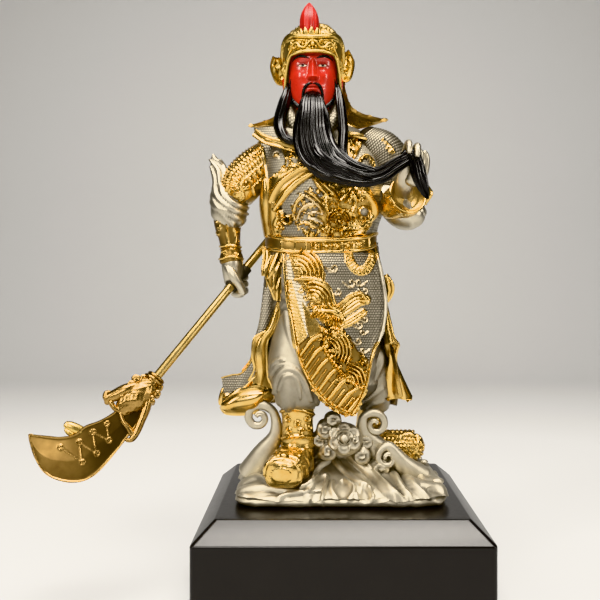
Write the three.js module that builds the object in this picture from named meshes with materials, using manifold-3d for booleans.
// A bearded warrior general in cast pewter with gilt armour, standing on a cloud-and-wave base
// with a long crescent-bladed halberd, on a black lacquered plinth.
// Millimetres, +Z up, the viewer stands on the -Y side. The origin is the centre of the plinth's underside.
import * as THREE from "three";
import { mergeVertices } from "three/addons/utils/BufferGeometryUtils.js";
import Module from "manifold-3d";

const wasm = await Module();
wasm.setup();

// Driving dimensions
const figureHeight = 303; // wave base to tassel tip
const baseWidth = 126; // cast wave base, side to side
const baseDepth = 88; // cast wave base, front to back
const plinthHeight = 60;
const plinthChamferWidth = 12;
const plinthChamferHeight = 11;
const plinthCornerRadius = 2.5;
const plinthSideMargin = 8; // flat top left bare beside the wave base
const plinthFrontMargin = 18; // flat top left bare before and behind it
const padThickness = 1; // red baize under the wave base
const padInset = 5; // from the wave base's edge
const padCornerRadius = 22;
const poleDiameter = 5.4;
const poleClearance = 0.5; // round the pole, in the fist's bore
const poleUpperLength = 126; // from the fist's middle up to the butt cap
const poleLowerLength = 86; // from the fist's middle down to the blade socket
const socketEntry = 4; // how far the pole goes into the blade's socket
const socketClearance = 0.3;
const bladeThickness = 2.6;
const buttCapLength = 12;
const buttCapDiameter = 7.6;

// The figure is drawn at this height, and every place and carving on it is a share of it.
const drawnHeight = 303;
const share = figureHeight / drawnHeight;
const fistX = -65.5; // where the pole passes through the right fist, in the drawn figure
const fistZ = 130.8;
const poleLean = new THREE.Vector3(-0.5563, -0.4016, -0.7275).normalize(); // from the fist down to the blade

const TURN = 2 * Math.PI;
const vec = (x, y, z) => new THREE.Vector3(x, y, z);

const finish = (colour, metalness, roughness) =>
  new THREE.MeshStandardMaterial({ color: colour, metalness, roughness });
const lacquer = finish(0x1b1815, 0, 0.35);
const baize = finish(0x8c1220, 0, 0.9);
const pewter = finish(0xb4aea0, 0.9, 0.4);
const gilt = finish(0xc9962e, 1, 0.25);
const brass = finish(0xb08d4a, 1, 0.3);

// A closed skin over rings of equal count: quads between neighbours and a fan over each end.
function skin(rings) {
  const count = rings[0].length;
  const middle = (ring) => ring.reduce((sum, p) => sum.add(p), vec(0, 0, 0)).divideScalar(count);
  const points = [...rings.flat(), middle(rings[0]), middle(rings.at(-1))];
  const bottom = points.length - 2;
  const top = points.length - 1;
  const lastRing = (rings.length - 1) * count;
  const faces = [];
  for (let i = 0; i < count; i++) {
    const next = (i + 1) % count;
    for (let r = 0; r < rings.length - 1; r++) {
      const [a, b] = [r * count + i, r * count + next];
      faces.push(a, b, b + count, a, b + count, a + count);
    }
    faces.push(bottom, next, i, top, lastRing + i, lastRing + next);
  }
  return solidFrom(points, faces);
}

// A manifold solid from points and triangles, turned right side out.
function solidFrom(points, faces) {
  const geometry = new THREE.BufferGeometry().setFromPoints(points);
  geometry.setIndex(faces);
  return solidOf(geometry);
}

function solidOf(geometry) {
  const bare = geometry.clone();
  bare.deleteAttribute("normal");
  bare.deleteAttribute("uv");
  const merged = mergeVertices(bare, 1e-4);
  const make = (triVerts) =>
    new wasm.Manifold(
      new wasm.Mesh({ numProp: 3, vertProperties: merged.attributes.position.array, triVerts }),
    );
  const faces = new Uint32Array(merged.index.array);
  const solid = make(faces);
  return solid.volume() < 0 ? make(faces.reverse()) : solid;
}

function geometryOf(solid) {
  const mesh = solid.getMesh();
  return new THREE.BufferGeometry()
    .setAttribute("position", new THREE.BufferAttribute(mesh.vertProperties, 3))
    .setIndex(new THREE.BufferAttribute(mesh.triVerts, 1));
}

const joined = (solids) => solids.reduce((whole, solid) => whole.add(solid));

// The solid without the sealed hollows that its joined pieces shut in. A hollow, and what stands loose
// in it, is a shell of its own inside the outer one, which is the shell of greatest volume.
function filled(solid) {
  const { vertProperties, triVerts } = solid.getMesh();
  const corner = (i) => vec(...vertProperties.slice(3 * i, 3 * i + 3));
  const link = Array.from({ length: vertProperties.length / 3 }, (_, i) => i);
  const shell = (i) => {
    while (link[i] !== i) i = link[i] = link[link[i]];
    return i;
  };
  const triangles = Array.from({ length: triVerts.length / 3 }, (_, t) => {
    return [...triVerts.slice(3 * t, 3 * t + 3)];
  });
  for (const [a, b, c] of triangles) {
    link[shell(b)] = shell(a);
    link[shell(c)] = shell(a);
  }
  const volumes = new Map();
  for (const [a, b, c] of triangles) {
    const part = corner(a).dot(corner(b).cross(corner(c)));
    volumes.set(shell(a), (volumes.get(shell(a)) ?? 0) + part);
  }
  const outer = [...volumes].reduce((most, entry) => (entry[1] > most[1] ? entry : most))[0];
  const kept = triangles.filter(([a]) => shell(a) === outer);
  return solidFrom(link.map((_, i) => corner(i)), kept.flat());
}

// The rows of a table read at t from 0 to 1, each column eased by a Catmull-Rom curve.
function easedRow(table, t) {
  const last = table.length - 1;
  const place = Math.min(t * last, last - 1e-9);
  const i = Math.floor(place);
  const f = place - i;
  const row = (k) => table[Math.min(Math.max(k, 0), last)];
  return table[0].map((_, c) => {
    const [a, b, d, e] = [row(i - 1)[c], row(i)[c], row(i + 1)[c], row(i + 2)[c]];
    return b + 0.5 * f * (d - a + f * (2 * a - 5 * b + 4 * d - e + f * (3 * (b - d) + e - a)));
  });
}

const bend = (value, squareness) => Math.sign(value) * Math.abs(value) ** (2 / squareness);

// Stations are rows [z, x, y, half width, half depth, squareness] of a body that stands upright.
// carve gives an outward step in millimetres for an angle and a share of the height.
function loft(stations, ringCount, sides, carve = () => 0) {
  const rings = [];
  for (let r = 0; r < ringCount; r++) {
    const along = r / (ringCount - 1);
    const [z, x, y, wide, deep, square] = easedRow(stations, along);
    rings.push(
      Array.from({ length: sides }, (_, i) => {
        const angle = (i / sides) * TURN;
        const step = carve(angle, along);
        return vec(
          x + (wide + step) * bend(Math.cos(angle), square),
          y + (deep + step) * bend(Math.sin(angle), square),
          z,
        );
      }),
    );
  }
  return skin(rings);
}

// Stops are rows [x, y, z, half width, half depth] of a limb or lock that follows a path.
// Its width lies in the plane square to facing, and its depth goes towards facing.
function sweep(stops, ringCount, sides, carve = () => 0, facing = vec(0, 1, 0)) {
  const rings = [];
  const at = (t) => easedRow(stops, Math.min(Math.max(t, 0), 1));
  for (let r = 0; r < ringCount; r++) {
    const along = r / (ringCount - 1);
    const [x, y, z, wide, deep] = at(along);
    const before = at(along - 0.02);
    const after = at(along + 0.02);
    const ahead = vec(after[0] - before[0], after[1] - before[1], after[2] - before[2]).normalize();
    const side = ahead.clone().cross(facing).normalize();
    const out = side.clone().cross(ahead);
    rings.push(
      Array.from({ length: sides }, (_, i) => {
        const angle = (i / sides) * TURN;
        const step = carve(angle, along);
        return vec(x, y, z)
          .addScaledVector(side, (wide + step) * Math.cos(angle))
          .addScaledVector(out, (deep + step) * Math.sin(angle));
      }),
    );
  }
  return skin(rings);
}

// A curved sheet of even thickness: surface(u, v) is its outer face, with u and v from 0 to 1.
function sheet(surface, columns, rows, thickness) {
  const small = 1e-3;
  const points = [];
  for (const depth of [0, thickness]) {
    for (let j = 0; j <= rows; j++) {
      for (let i = 0; i <= columns; i++) {
        const [u, v] = [i / columns, j / rows];
        const across = surface(Math.min(u + small, 1), v).sub(surface(Math.max(u - small, 0), v));
        const down = surface(u, Math.min(v + small, 1)).sub(surface(u, Math.max(v - small, 0)));
        const inward = across.cross(down).normalize();
        points.push(surface(u, v).addScaledVector(inward, depth));
      }
    }
  }
  const width = columns + 1;
  const back = width * (rows + 1);
  const faces = [];
  const quad = (a, b, c, d) => faces.push(a, b, c, a, c, d);
  for (let j = 0; j < rows; j++) {
    for (let i = 0; i < columns; i++) {
      const a = j * width + i;
      quad(a, a + width, a + width + 1, a + 1);
      quad(back + a, back + a + 1, back + a + width + 1, back + a + width);
    }
  }
  const rim = (a, b) => quad(a, b, back + b, back + a);
  for (let i = 0; i < columns; i++) {
    rim(i, i + 1);
    rim(rows * width + i + 1, rows * width + i);
  }
  for (let j = 0; j < rows; j++) {
    rim((j + 1) * width, j * width);
    rim(j * width + columns, (j + 1) * width + columns);
  }
  return solidFrom(points, faces);
}

const bump = (distance, reach) => Math.exp(-((distance / reach) ** 2));

// The wave base

// Height of the cast ground above its underside at a place, with swells that run out to the right.
function groundHeight(x, y) {
  const mound = 25 * bump(Math.hypot((x - 5) / 1.5, y - 8), 19);
  const leftBank = 9 * bump(Math.hypot(x + 48, (y - 8) * 0.9), 17);
  const rightBank = 8 * bump(Math.hypot(x - 40, y - 12), 19);
  const swell = 1.5 * Math.sin((x * 0.8 + y * 0.75) / 3.6) * bump(Math.hypot(x - 26, y + 12), 30);
  return 10.5 + mound + leftBank + rightBank + swell;
}

function waveGround() {
  const sides = 24;
  const lobes = (angle) => 0.975 + 0.022 * Math.sin(5 * angle + 0.6) + 0.014 * Math.sin(11 * angle);
  const ringAt = (reach, z) =>
    Array.from({ length: sides }, (_, i) => {
      const angle = (i / sides) * TURN;
      const x = (baseWidth / share / 2) * reach * lobes(angle) * bend(Math.cos(angle), 2.7);
      const y = (baseDepth / share / 2) * reach * lobes(angle) * bend(Math.sin(angle), 2.7);
      return vec(x, y, z ?? groundHeight(x, y));
    });
  return skin([
    ringAt(0.985, 0),
    ringAt(1, 1.5),
    ringAt(1, 6.5),
    ...[0.9, 0.7, 0.45, 0.2].map((reach) => ringAt(reach)),
  ]);
}

// A rolled cloud or wave: a tapering ribbon that ends in a spiral of the given turns.
function curl(stem, centre, radius, turns, depth, handed) {
  const [x, y, z] = centre;
  const start = Math.atan2(stem.at(-1)[2] - z, (stem.at(-1)[0] - x) * handed);
  const steps = Math.round(turns * 6);
  const spiral = Array.from({ length: steps }, (_, i) => {
    const part = (i + 1) / steps;
    const angle = start + part * turns * TURN;
    const reach = radius * (1 - 0.78 * part);
    return [
      x + handed * reach * Math.cos(angle),
      y - 1.2 * part,
      z + reach * Math.sin(angle),
      radius * (0.36 - 0.17 * part),
      depth * (1 - 0.3 * part),
    ];
  });
  const stops = [...stem, ...spiral];
  return sweep(stops, stops.length + 2, 4);
}

function waveScrolls() {
  return [
    curl(
      [
        [-55, -6, 10, 9, 8],
        [-47, -11, 23, 7.4, 6],
        [-39.5, -14, 36, 4.4, 4.4],
        [-40.5, -14, 48.5, 2.8, 3.6],
      ],
      [-50, -14, 46.5], 8.6, 1.15, 3.4, 1,
    ),
    curl(
      [[34, -4, 10, 10, 8], [25, -9, 24, 8, 6], [15.5, -12, 36, 4.6, 4.4], [14.5, -13, 46, 2.8, 4]],
      [21.6, -13, 42], 7.6, 1.1, 3.6, -1,
    ),
    curl(
      [[-10, -16, 20, 9, 7], [-8, -20, 33, 5, 5], [-3, -21, 43, 3, 4.4]],
      [3, -21, 35], 8.8, 1.3, 4.4, -1,
    ),
    curl(
      [[50, -14, 9, 8, 6], [39, -17, 18, 6, 5], [30, -18, 29, 3.4, 4]],
      [28.6, -18, 22.6], 6.6, 1.1, 3.6, 1,
    ),
  ];
}

// Legs, boots and robe

function rightBoot() {
  const foot = sweep(
    [
      [-26, -8, 21, 9, 9.4],
      [-27.5, -16, 22, 10.5, 10],
      [-31, -28, 20.5, 11.6, 9.4],
      [-34, -39, 19, 12, 8.2],
      [-35.4, -44.5, 18, 10, 6.6],
    ],
    6, 8, () => 0, vec(0, 0, 1),
  );
  const shaft = loft(
    [
      [16, -27, -15, 10, 10.5, 2.4],
      [30, -27.5, -17, 10.3, 10.5, 2.2],
      [43, -28, -18, 9.6, 10, 2.2],
      [57, -28.4, -18, 11, 10.8, 2.2],
    ],
    5, 8,
  );
  return [foot, shaft];
}

function leftBoot() {
  const foot = sweep(
    [
      [14, 8, 30, 5, 7],
      [22, 6, 30.5, 5.2, 7],
      [30, 3, 29, 6.4, 7.4],
      [40, -1, 27, 8.6, 7.4],
      [47, -3, 27, 9, 6],
      [50, -4, 28, 6.4, 4],
    ],
    8, 9,
  );
  const shaft = loft(
    [
      [24, 17, 8, 8, 8, 2.2],
      [38, 19, 7, 8, 8, 2.2],
      [52, 21, 6, 8.6, 8.6, 2.2],
    ],
    3, 8,
  );
  return [foot, shaft];
}

function rightTrouser() {
  const folds = (angle, along) => 0.9 * Math.sin(5 * angle + 9 * along) * along;
  return loft(
    [
      [53.5, -28.5, -18, 11.5, 11, 2],
      [58, -30, -20, 17, 14, 2],
      [66, -31, -20, 19.5, 15.5, 2],
      [78, -31.5, -17, 18.6, 16, 2],
      [92, -29, -12, 17, 17, 2],
      [112, -25, -6, 15, 17, 2],
      [130, -20, -2, 14, 16, 2],
    ],
    7, 10, folds,
  );
}

function leftTrouser() {
  return loft(
    [
      [50, 22, 4, 10, 10, 2],
      [60, 21, 1, 13, 12.5, 2],
      [80, 16, 0, 14.5, 14, 2],
      [104, 8, 0, 16, 16, 2],
      [128, 2, 0, 16, 17, 2],
    ],
    4, 8,
  );
}

// The robe's front from hem to belt: middle, half width and half depth
const robeTable = [
  [-5, 40, 26],
  [-3, 41, 29],
  [-6, 41, 30],
  [-8, 39, 28],
  [-10, 36.5, 25.5],
];
const robeHem = 46;
const robeTop = 152;

function robeFront(x, z, proud) {
  const up = Math.min(Math.max((z - robeHem) / (robeTop - robeHem), 0), 1);
  const [middle, wide, deep] = easedRow(robeTable, up);
  const lean = Math.min(Math.abs(x - middle) / (wide + proud), 0.985);
  return -(deep + proud) * Math.sqrt(1 - lean * lean);
}

// The front panel's outline from belt to tip: height, left edge, right edge
const tabardDrop = [
  [151, -43, 24],
  [134, -40.5, 27.5],
  [116, -36, 29],
  [98, -29.5, 28],
  [80, -21.5, 24.5],
  [64, -12.5, 18.5],
  [53.5, -2.5, 12.5],
  [47.5, 4, 8.5],
];

function tabardPoint(u, v, proud = 0) {
  const [z, left, right] = easedRow(tabardDrop, v);
  const x = left + (right - left) * u;
  return vec(x, robeFront(x, z, 5 + proud), z);
}

// A raised cord laid on the front panel through points [u, v]
function tabardRidge(points, halfWidth, height) {
  const stops = points.map(([u, v]) => {
    const p = tabardPoint(u, v, 0.4);
    return [p.x, p.y, p.z, halfWidth, height];
  });
  return sweep(stops, stops.length + 1, 4);
}

function tabard() {
  const panel = sheet((u, v) => tabardPoint(u, v), 6, 7, 3.4);
  const plumes = [0.54, 0.66, 0.78].map((v) =>
    tabardRidge([[0.42, v - 0.03], [0.24, v + 0.02], [0.07, v + 0.05]], 1.8, 1.6),
  );
  const beast = [
    tabardRidge(
      [[0.22, 0.24], [0.42, 0.3], [0.56, 0.4], [0.5, 0.5], [0.56, 0.6], [0.72, 0.66]],
      3.2, 2,
    ),
    tabardRidge([[0.5, 0.46], [0.66, 0.42], [0.84, 0.32]], 2.4, 1.8),
  ];
  return [panel, ...plumes, ...beast];
}

// The coat tails: one sheet from the left front edge round the back to the right front edge
function coatPoint(u, v) {
  const angle = Math.PI * (1.13 - 1.26 * u);
  const flare = 1 + 0.38 * v * v;
  const ripple = 1 + 0.07 * v * Math.sin(u * 20);
  const wide = 37.8 * (u < 0.5 ? 1 + 0.34 * v * v : 1) * ripple;
  const deep = 28 * flare * ripple;
  const drop = 100 + 6 * Math.sin(u * Math.PI) - (u > 0.92 ? 6 * v : 0);
  return vec(-9.5 + 11 * v * u + wide * Math.cos(angle), 1 + deep * Math.sin(angle), 153 - drop * v);
}

function robe() {
  const core = loft(
    [
      [66, 0, 2, 30, 22, 2.2],
      [100, -6, 1, 36, 25.5, 2.2],
      [126, -8, 0, 38, 26, 2.2],
      [152, -10, 0, 35, 24, 2.2],
    ],
    3, 12,
  );
  const coat = sheet(coatPoint, 14, 3, 2.6);
  const leftCurl = sweep(
    [
      [-47, -10, 58, 7, 4],
      [-57, -13, 55.5, 7.4, 4.4],
      [-66, -13, 57, 8.6, 4.2],
      [-73.5, -11, 60, 9.8, 2.6],
    ],
    5, 6,
  );
  const leftGuard = sheet(
    (u, v) => {
      const z = 151 - 62 * v;
      const x = -43 - 2.5 * Math.sin(v * Math.PI) - 7 * v * v + u * (8 - 2 * v) - 1.5;
      return vec(x, -6 - 13 * u - 6 * Math.sin(v * 2), z);
    },
    2, 5, 3.2,
  );
  const rightRibbons = sweep(
    [
      [27, -12, 132, 2.4, 2.4],
      [31.5, -13, 122, 3.6, 2.8],
      [29.5, -12, 108, 2.4, 2.4],
      [31, -12, 96, 2.4, 2.6],
      [36, -12, 86, 4.2, 2.8],
      [35, -10, 70, 5.4, 2.6],
      [40, -8, 54.5, 7.5, 2.2],
    ],
    10, 5,
  );
  return [core, coat, leftCurl, leftGuard, rightRibbons];
}

// Torso

function belt() {
  const band = loft(
    [
      [148.6, -10.8, 0, 36.8, 26.6, 2.2],
      [153.5, -10.8, 0, 37.6, 27.4, 2.2],
      [158.6, -10.8, 0, 36.6, 26.4, 2.2],
    ],
    3, 16,
  );
  const bossCount = 3;
  const bosses = Array.from({ length: bossCount }, (_, i) => {
    const x = -12 + 28 * (i / (bossCount - 1));
    const boss = new THREE.SphereGeometry(3, 6, 3);
    boss.translate(x, -27 * Math.sqrt(1 - ((x + 10) / 38) ** 2), 153.6);
    return solidOf(boss);
  });
  return [band, ...bosses];
}

const torsoTable = [
  [156, -10.5, 0, 35, 24, 2.2],
  [166, -10, 0, 37, 26.5, 2.2],
  [180, -9, -0.5, 39.5, 28.5, 2.2],
  [194, -9, 0, 40, 28, 2.2],
  [207, -10, 1, 40, 24.5, 2.1],
  [217, -12, 2, 33, 19, 2],
  [224, -14.5, 2, 22, 14, 2],
  [231, -16, 0, 12.5, 11.5, 2],
  [246, -16.6, -1, 11, 11, 2],
];

function chestFront(x, z, proud) {
  const above = Math.max(torsoTable.findIndex((row) => row[0] > z), 1);
  const [low, high] = [torsoTable[above - 1][0], torsoTable[above][0]];
  const [, middle, y, wide, deep, square] = easedRow(
    torsoTable,
    (above - 1 + (z - low) / (high - low)) / (torsoTable.length - 1),
  );
  const lean = Math.min(Math.abs((x - middle) / (wide + proud)), 0.98);
  return y - (deep + proud) * (1 - lean ** square) ** (1 / square);
}

// A raised cord laid on the breastplate through points [x, z]
function chestRidge(points, halfWidth, height) {
  const stops = points.map(([x, z]) => [x, chestFront(x, z, 0.6), z, halfWidth, height]);
  return sweep(stops, stops.length + 2, 5);
}

function torso() {
  const trunk = loft(torsoTable, 8, 12);
  const scarf = chestRidge([[-15, 205], [-28.6, 198], [-39.8, 186], [-44.6, 172], [-43.3, 159]], 3, 3.2);
  const knot = new THREE.SphereGeometry(3.6, 6, 4);
  knot.translate(-36, -24.5, 171);
  const beast = [
    [[-24, 196], [-32, 184], [-28, 171], [-14, 166], [-2, 170], [2, 180], [-6, 187], [-16, 182], [-14, 175]],
    [[-10, 196], [0, 192], [12, 190], [21, 184], [20, 172], [10, 165]],
  ].map((points) => chestRidge(points, 3, 2.4));
  return [trunk, scarf, solidOf(knot), ...beast];
}

// Flared shoulder cape on both shoulders, under the helmet's neck guard
function shoulderCape() {
  return sheet(
    (u, v) => {
      const angle = Math.PI * (1.32 - 1.64 * u);
      const reach = 13 + 26 * v;
      return vec(-13 + reach * Math.cos(angle), 3 + (11 + 12 * v) * Math.sin(angle), 230 - 10 * v ** 1.4);
    },
    12, 2, 2.6,
  );
}

// Arms

function rightArm() {
  const guard = sweep(
    [
      [-39, 1, 216, 9, 12],
      [-48, 0.5, 209, 11, 13.5],
      [-57, 0, 199, 12.6, 13.5],
      [-63.5, -1, 189, 12.8, 13],
    ],
    5, 9,
  );
  const sleeve = sweep(
    [
      [-81, 2, 208.5, 1.6, 2.4],
      [-77.5, 1, 202, 4.6, 5.5],
      [-76, 0, 192, 7, 9],
      [-73.5, -1, 182, 11, 12],
      [-69.5, -1, 173.5, 12.2, 12],
      [-66, 0, 167, 8, 9],
    ],
    6, 8,
  );
  const vambrace = sweep(
    [
      [-71.5, 0, 178, 8.4, 8.6],
      [-70.8, 0, 167, 8.8, 9],
      [-69.6, 0, 157, 7, 7.6],
      [-68.8, 0, 149.6, 6.4, 7],
      [-68.4, 0, 143.6, 7.2, 7.6],
    ],
    4, 8,
  );
  return [guard, sleeve, vambrace];
}

function rightHand() {
  const palm = sweep(
    [
      [-68.3, 0, 147, 6.6, 7],
      [-67.4, 0, 141, 7.6, 8.6],
      [-65.8, 0, 133, 8, 9.6],
      [-64.6, 0, 126, 7.2, 9],
      [-63.4, 0, 121.6, 5.4, 6.4],
    ],
    5, 10,
  );
  const fingers = [0, 1, 2].map((k) =>
    sweep(
      [
        [-60.6, 4 - k * 0.4, 137 - 5.6 * k, 2.8, 2.8],
        [-57.8, -1, 135 - 5.6 * k, 2.9, 2.8],
        [-59.6, -7.5, 132.6 - 5.6 * k, 2.8, 2.6],
      ],
      3, 5,
    ),
  );
  const thumb = sweep(
    [
      [-66, -6, 139, 3, 3],
      [-61.5, -10, 130, 2.9, 2.8],
      [-57, -9.5, 121.5, 2.3, 2.3],
    ],
    3, 5,
  );
  return [palm, ...fingers, thumb];
}

function leftArm() {
  const shoulder = sweep(
    [
      [18, 0, 219, 11, 12],
      [25, -1, 211, 15, 15.5],
      [31, -2, 201, 15.5, 15.5],
      [34, -3, 190, 13.5, 13.5],
      [35, -4, 182, 10, 11],
    ],
    4, 9,
  );
  const sleeve = sweep(
    [
      [27, -2, 190, 7, 10],
      [33, -6, 181, 10.5, 13],
      [40, -12, 175.5, 11, 13.5],
      [47, -16, 177, 9, 11],
      [52, -18, 184, 4, 6],
    ],
    5, 8,
  );
  const cuff = sweep(
    [
      [34, -8, 179, 9, 10],
      [38, -16, 181, 11.8, 11],
      [42, -24, 187, 12, 10],
      [43, -28, 191, 9.4, 8],
    ],
    4, 8,
  );
  const forearm = sweep(
    [
      [38, -18, 182, 8.4, 8.4],
      [39.4, -26, 190, 7.4, 7.4],
      [40.4, -32, 199, 6.8, 6],
      [41, -34, 206, 6.4, 5],
    ],
    4, 8,
  );
  const cuffPoint = sweep(
    [
      [46, -16, 186, 4, 6],
      [52.5, -17, 185, 3.6, 4],
      [55.6, -17, 182.5, 1.8, 2],
    ],
    3, 5,
  );
  return [shoulder, sleeve, cuff, forearm, cuffPoint];
}

function leftHand() {
  const palm = sweep(
    [
      [41.4, -34, 194, 6, 4.6],
      [43.4, -35, 202, 6.6, 4.4],
      [45, -35, 208, 5.6, 3.8],
    ],
    3, 8,
  );
  const finger = (x, top, curlForward) =>
    sweep(
      [
        [x - 0.6, -35, 202, 2.1, 2.1],
        [x, -37.5, top - 3, 2, 2],
        [x + 0.2, -37.5 - curlForward, top, 1.6, 1.7],
      ],
      3, 5,
    );
  return [
    palm,
    finger(38.4, 213.5, 2.6),
    finger(42.4, 212.5, 3),
    finger(46.6, 209.6, 1.6),
    finger(49.8, 208, 0.6),
    sweep([[49.5, -33, 194, 2.6, 3], [51.8, -34, 200, 2.4, 2.6], [51.2, -36, 206, 1.8, 2]], 3, 5),
  ];
}

// Head

const headX = -16.8;

function head() {
  const skull = loft(
    [
      [233, headX, -10, 7, 6, 2],
      [238, headX, -9, 11.4, 10.6, 2.1],
      [246, headX, -7.5, 14.6, 14, 2.2],
      [256, headX, -6.5, 15.8, 15.6, 2.2],
      [266, headX, -6, 15.8, 16, 2.2],
      [276, headX, -5, 15, 15.4, 2.1],
    ],
    5, 12,
  );
  const nose = sweep(
    [
      [headX, -20.6, 262, 1.6, 1.6],
      [headX, -23, 256, 2, 2.2],
      [headX, -24.6, 251.6, 3, 2.6],
    ],
    3, 5,
  );
  const ear = (side) =>
    sweep(
      [
        [headX + side * 15.4, -5, 258, 1.6, 3],
        [headX + side * 17, -5, 252, 1.9, 3.4],
        [headX + side * 15.6, -6, 245, 1.4, 2.4],
      ],
      3, 5,
    );
  return [skull, nose, ear(-1), ear(1)];
}

function helmet() {
  const crown = loft(
    [
      [262, headX, -2, 17.6, 16, 2.1],
      [268, headX, -3, 18.6, 18.6, 2.2],
      [281, headX, -4, 18.8, 18.8, 2.3],
      [285, headX + 0.4, -3, 16.6, 16.6, 2.2],
      [291, headX + 0.8, -1, 12.6, 12.6, 2],
      [295.5, headX + 0.8, 0, 5, 5, 2],
    ],
    6, 12,
  );
  const opening = new THREE.BoxGeometry(30, 14, 20);
  opening.translate(headX, -24.4, 261.4);
  const rim = sweep(
    [
      [headX - 17, -7, 255, 2.2, 2.4],
      [headX - 16.4, -13, 266, 2.2, 2.4],
      [headX - 10, -20, 272, 2, 2.2],
      [headX, -23, 273, 2, 2.2],
      [headX + 10, -20, 272, 2, 2.2],
      [headX + 16.4, -13, 266, 2.2, 2.4],
      [headX + 17, -7, 255, 2.2, 2.4],
    ],
    9, 4,
  );
  const wing = (side) =>
    sweep(
      [
        [headX + side * 17.4, -4, 250.6, 2.4, 2],
        [headX + side * 20.6, -3, 256, 4.2, 2.2],
        [headX + side * 23.4, -2, 264, 4.4, 2.2],
        [headX + side * 24.6, -1, 271.5, 1, 1.4],
      ],
      5, 5,
    );
  const tassel = loft(
    [
      [283.6, headX - 0.8, -13, 5, 5, 2],
      [288, headX - 1, -13, 6.4, 6.2, 2],
      [293, headX - 1.2, -12.6, 5.8, 5.6, 2],
      [299, headX - 1.6, -12, 3.2, 3.2, 2],
      [drawnHeight, headX - 2, -12, 0.7, 0.7, 2],
    ],
    5, 7,
  );
  return [crown.subtract(solidOf(opening)), rim, wing(-1), wing(1), tassel];
}

// Neck guard: close behind the head, then swept out below to two upturned points.
// Rows run down it: half spread, how far behind the head, height.
const neckGuardTable = [
  [18.4, 15, 266],
  [19.4, 16, 254],
  [21.6, 17, 243],
  [28, 18, 236],
  [45.5, 14, 230.5],
];

function neckGuard() {
  return sheet(
    (u, v) => {
      const across = 2 * u - 1;
      const [spread, behind, z] = easedRow(neckGuardTable, v);
      const lift = across > 0 ? 4 * v * across ** 2 : 0;
      return vec(
        headX + 3.5 * v + across * spread,
        behind * Math.sqrt(1.06 - across * across) - 1 + 8 * v,
        z + lift - 4 * v * (1 - Math.abs(across)),
      );
    },
    8, 4, 2.4,
  );
}

// The beard flows down from the chin, swings to the left hand and hangs on from it.
function beard() {
  const locks = (angle, along) => 0.8 * Math.cos(5 * angle) * Math.min(1, 4 * along + 0.3);
  const main = sweep(
    [
      [headX, -20, 242, 6, 4],
      [headX - 0.2, -24.5, 232, 7.8, 5.2],
      [headX - 0.2, -28, 220, 9.4, 6.2],
      [headX + 2.4, -32, 208, 10.2, 6.4],
      [headX + 8, -35, 199, 9, 6.2],
      [headX + 16, -37.5, 194.6, 7, 6],
      [headX + 24, -39, 191.6, 5.8, 5.4],
      [headX + 32, -40, 190.6, 4.8, 5],
      [headX + 40, -40.5, 192.4, 4.6, 4.8],
      [headX + 48, -40.5, 197.6, 4, 4.4],
      [headX + 55, -40.5, 202, 3.4, 4],
    ],
    11, 10, locks,
  );
  const tail = sweep(
    [
      [headX + 54, -40, 205, 3, 3.4],
      [headX + 58.6, -41.5, 202, 3.6, 3.4],
      [headX + 61.4, -42, 192, 4.2, 3.2],
      [headX + 64.6, -41.5, 183, 3, 2.4],
      [headX + 66.8, -40.5, 178.6, 0.6, 0.6],
    ],
    5, 5,
  );
  const leftLock = sweep(
    [
      [headX - 15, -11, 249, 1.6, 2],
      [headX - 18, -15, 238, 2.8, 2.6],
      [headX - 20.4, -19, 225, 2.8, 2.6],
      [headX - 17, -24, 216.6, 2.4, 2.4],
      [headX - 9.6, -28, 213, 2, 2.2],
    ],
    6, 5,
  );
  const rightLock = sweep(
    [
      [headX + 15, -11, 250, 1.6, 2],
      [headX + 17, -16, 238, 2.8, 2.6],
      [headX + 18.4, -22, 222, 3, 2.8],
      [headX + 18, -28, 208, 3, 2.8],
      [headX + 21, -33, 196, 2.4, 2.4],
    ],
    6, 5,
  );
  return [main, tail, leftLock, rightLock];
}

// Where things stand
const padTop = plinthHeight + padThickness;

// The halberd's own frame: its origin is in the fist, x runs down the pole to the blade,
// y towards the blade's hollow edge and z out of the blade's face to the viewer.
function halberdFrame() {
  const face = vec(0, -1, 0).addScaledVector(poleLean, poleLean.y).normalize();
  const hollow = poleLean.clone().cross(face);
  const fist = vec(fistX * share, 0, fistZ * share + padTop);
  return new THREE.Matrix4().makeBasis(poleLean, hollow, face).setPosition(fist);
}

// A cylinder on the pole's line in the halberd's frame
function rod(radius, from, to) {
  const cylinder = new THREE.CylinderGeometry(radius, radius, to - from, 12);
  return cylinder.rotateZ(-Math.PI / 2).translate((from + to) / 2, 0, 0);
}

function figure() {
  const parts = [
    waveGround(),
    ...waveScrolls(),
    ...rightBoot(),
    ...leftBoot(),
    rightTrouser(),
    leftTrouser(),
    ...robe(),
    ...tabard(),
    ...belt(),
    ...torso(),
    shoulderCape(),
    ...rightArm(),
    ...rightHand(),
    ...leftArm(),
    ...leftHand(),
    ...head(),
    ...helmet(),
    neckGuard(),
    ...beard(),
  ];
  const standing = joined(parts).scale(share).translate([0, 0, padTop]);
  const bore = rod(poleDiameter / 2 + poleClearance, -poleUpperLength - buttCapLength, poleLowerLength);
  return filled(standing.subtract(solidOf(bore.applyMatrix4(halberdFrame()))));
}

function pole() {
  const shaft = solidOf(rod(poleDiameter / 2, -poleUpperLength, poleLowerLength + socketEntry));
  return shaft.add(solidOf(rod(buttCapDiameter / 2, -poleUpperLength - buttCapLength, 1 - poleUpperLength)));
}

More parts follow.
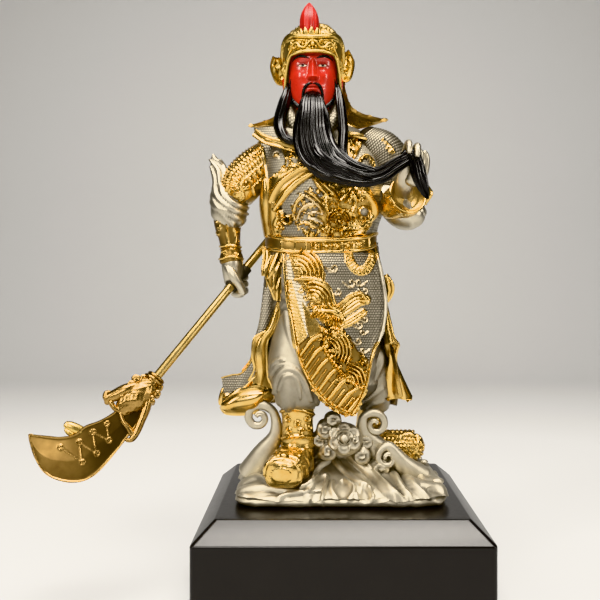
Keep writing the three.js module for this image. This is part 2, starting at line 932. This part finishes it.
// Stations from the socket to the point: the outer edge's x and y, then the hollow edge's x and y.
const bladeStations = [
  [9, -7.5, 9, 5.2],
  [24, -9, 21, 5.6],
  [36, -9.2, 31, 8.8],
  [47, -9.2, 39, 13.6],
  [57, -8, 46, 15.2],
  [64.5, -3.6, 51.4, 20],
  [69.6, 4.4, 54.6, 25],
  [71.4, 14, 57, 29],
  [68.4, 23.6, 58.8, 32],
  [63.6, 31.4, 59.6, 33.8],
  [60.9, 34.8, 60.4, 34.5],
];

function bladePlate() {
  const ringCount = 12;
  const rings = Array.from({ length: ringCount }, (_, r) => {
    const [outerX, outerY, innerX, innerY] = easedRow(bladeStations, r / (ringCount - 1));
    const across = (part, height) =>
      vec(outerX + (innerX - outerX) * part, outerY + (innerY - outerY) * part, height);
    const half = bladeThickness / 2;
    const front = [across(0, 0), across(0.26, half), across(0.84, half)];
    return [...front, across(1, 0), across(0.84, -half), across(0.26, -half)];
  });
  return skin(rings);
}

// The beast's head whose jaws hold the blade, drawn from the pole's end
function bladeSocket() {
  const grown = (stops, ringCount, sides) => sweep(stops, ringCount, sides, () => 0, vec(0, 0, 1));
  const collar = new THREE.TorusGeometry(5.6, 1.5, 4, 10);
  collar.rotateY(Math.PI / 2);
  const neck = grown(
    [
      [-3.4, 0, 0, 5, 5],
      [0, 0, 0, 6.2, 6],
      [6, 0.5, 0, 7.4, 6.4],
      [13, 1.5, 0, 8, 5.6],
      [20, 2.5, 0, 5.4, 3.4],
    ],
    5, 8,
  );
  const upperJaw = grown(
    [
      [6, 6, 0, 3.6, 4],
      [13, 9.6, 0, 3.4, 3.6],
      [20, 12, 0, 2.8, 3],
      [24, 11.6, 0, 1.6, 2],
    ],
    4, 6,
  );
  const lowerJaw = grown([[6, -5, 0, 3, 3.6], [15, -8.6, 0, 2.6, 3], [24, -10, 0, 1.8, 2.4]], 3, 6);
  const horn = grown([[10, 8, 2, 2, 2], [2, 11.4, 3, 1.8, 1.8], [-4, 9.4, 3, 0.8, 0.8]], 3, 5);
  const barb = grown([[39, 11, 0, 2.4, 1], [40.4, 16, 0, 1.6, 0.9], [41.2, 20, 0, 0.5, 0.5]], 3, 4);
  const tuft = grown([[43, 13, 0, 1.4, 1.4], [44, 19.6, 0, 2.2, 2.2], [47.6, 22.4, 0, 1.4, 1.4]], 3, 5);
  return [solidOf(collar), neck, upperJaw, lowerJaw, horn, barb, tuft];
}

function blade() {
  const mouth = -10; // clear of the socket's mouth
  const bore = rod(poleDiameter / 2 + socketClearance, mouth, socketEntry + socketClearance);
  return joined([bladePlate(), ...bladeSocket()]).subtract(solidOf(bore));
}

// A rounded rectangle as a ring of points at a height
function slabRing(width, depth, radius, z) {
  const steps = 4;
  return [[1, 1], [-1, 1], [-1, -1], [1, -1]].flatMap(([right, back], corner) =>
    Array.from({ length: steps + 1 }, (_, step) => {
      const angle = ((corner + step / steps) * TURN) / 4;
      return vec(
        right * (width / 2 - radius) + radius * Math.cos(angle),
        back * (depth / 2 - radius) + radius * Math.sin(angle),
        z,
      );
    }),
  );
}

function plinth() {
  const topWidth = baseWidth + 2 * plinthSideMargin;
  const topDepth = baseDepth + 2 * plinthFrontMargin;
  const ring = (inset, z) =>
    slabRing(
      topWidth + 2 * (plinthChamferWidth - inset),
      topDepth + 2 * (plinthChamferWidth - inset),
      plinthCornerRadius,
      z,
    );
  return skin([
    ring(0, 0),
    ring(0, plinthHeight - plinthChamferHeight),
    ring(plinthChamferWidth, plinthHeight),
  ]);
}

function pad() {
  const ring = (z) => slabRing(baseWidth - 2 * padInset, baseDepth - 2 * padInset, padCornerRadius, z);
  return skin([ring(plinthHeight), ring(padTop)]);
}

const named = (name, solid, material) => {
  const mesh = new THREE.Mesh(geometryOf(solid), material);
  mesh.name = name;
  return mesh;
};

const halberd = new THREE.Group();
halberd.applyMatrix4(halberdFrame());
const bladeMesh = named("halberd_blade", blade(), gilt);
bladeMesh.position.x = poleLowerLength;
halberd.add(named("halberd_pole", pole(), brass), bladeMesh);

const statue = new THREE.Group();
statue.add(
  named("plinth", plinth(), lacquer),
  named("base_pad", pad(), baize),
  named("figure", figure(), pewter),
  halberd,
);

export default statue;
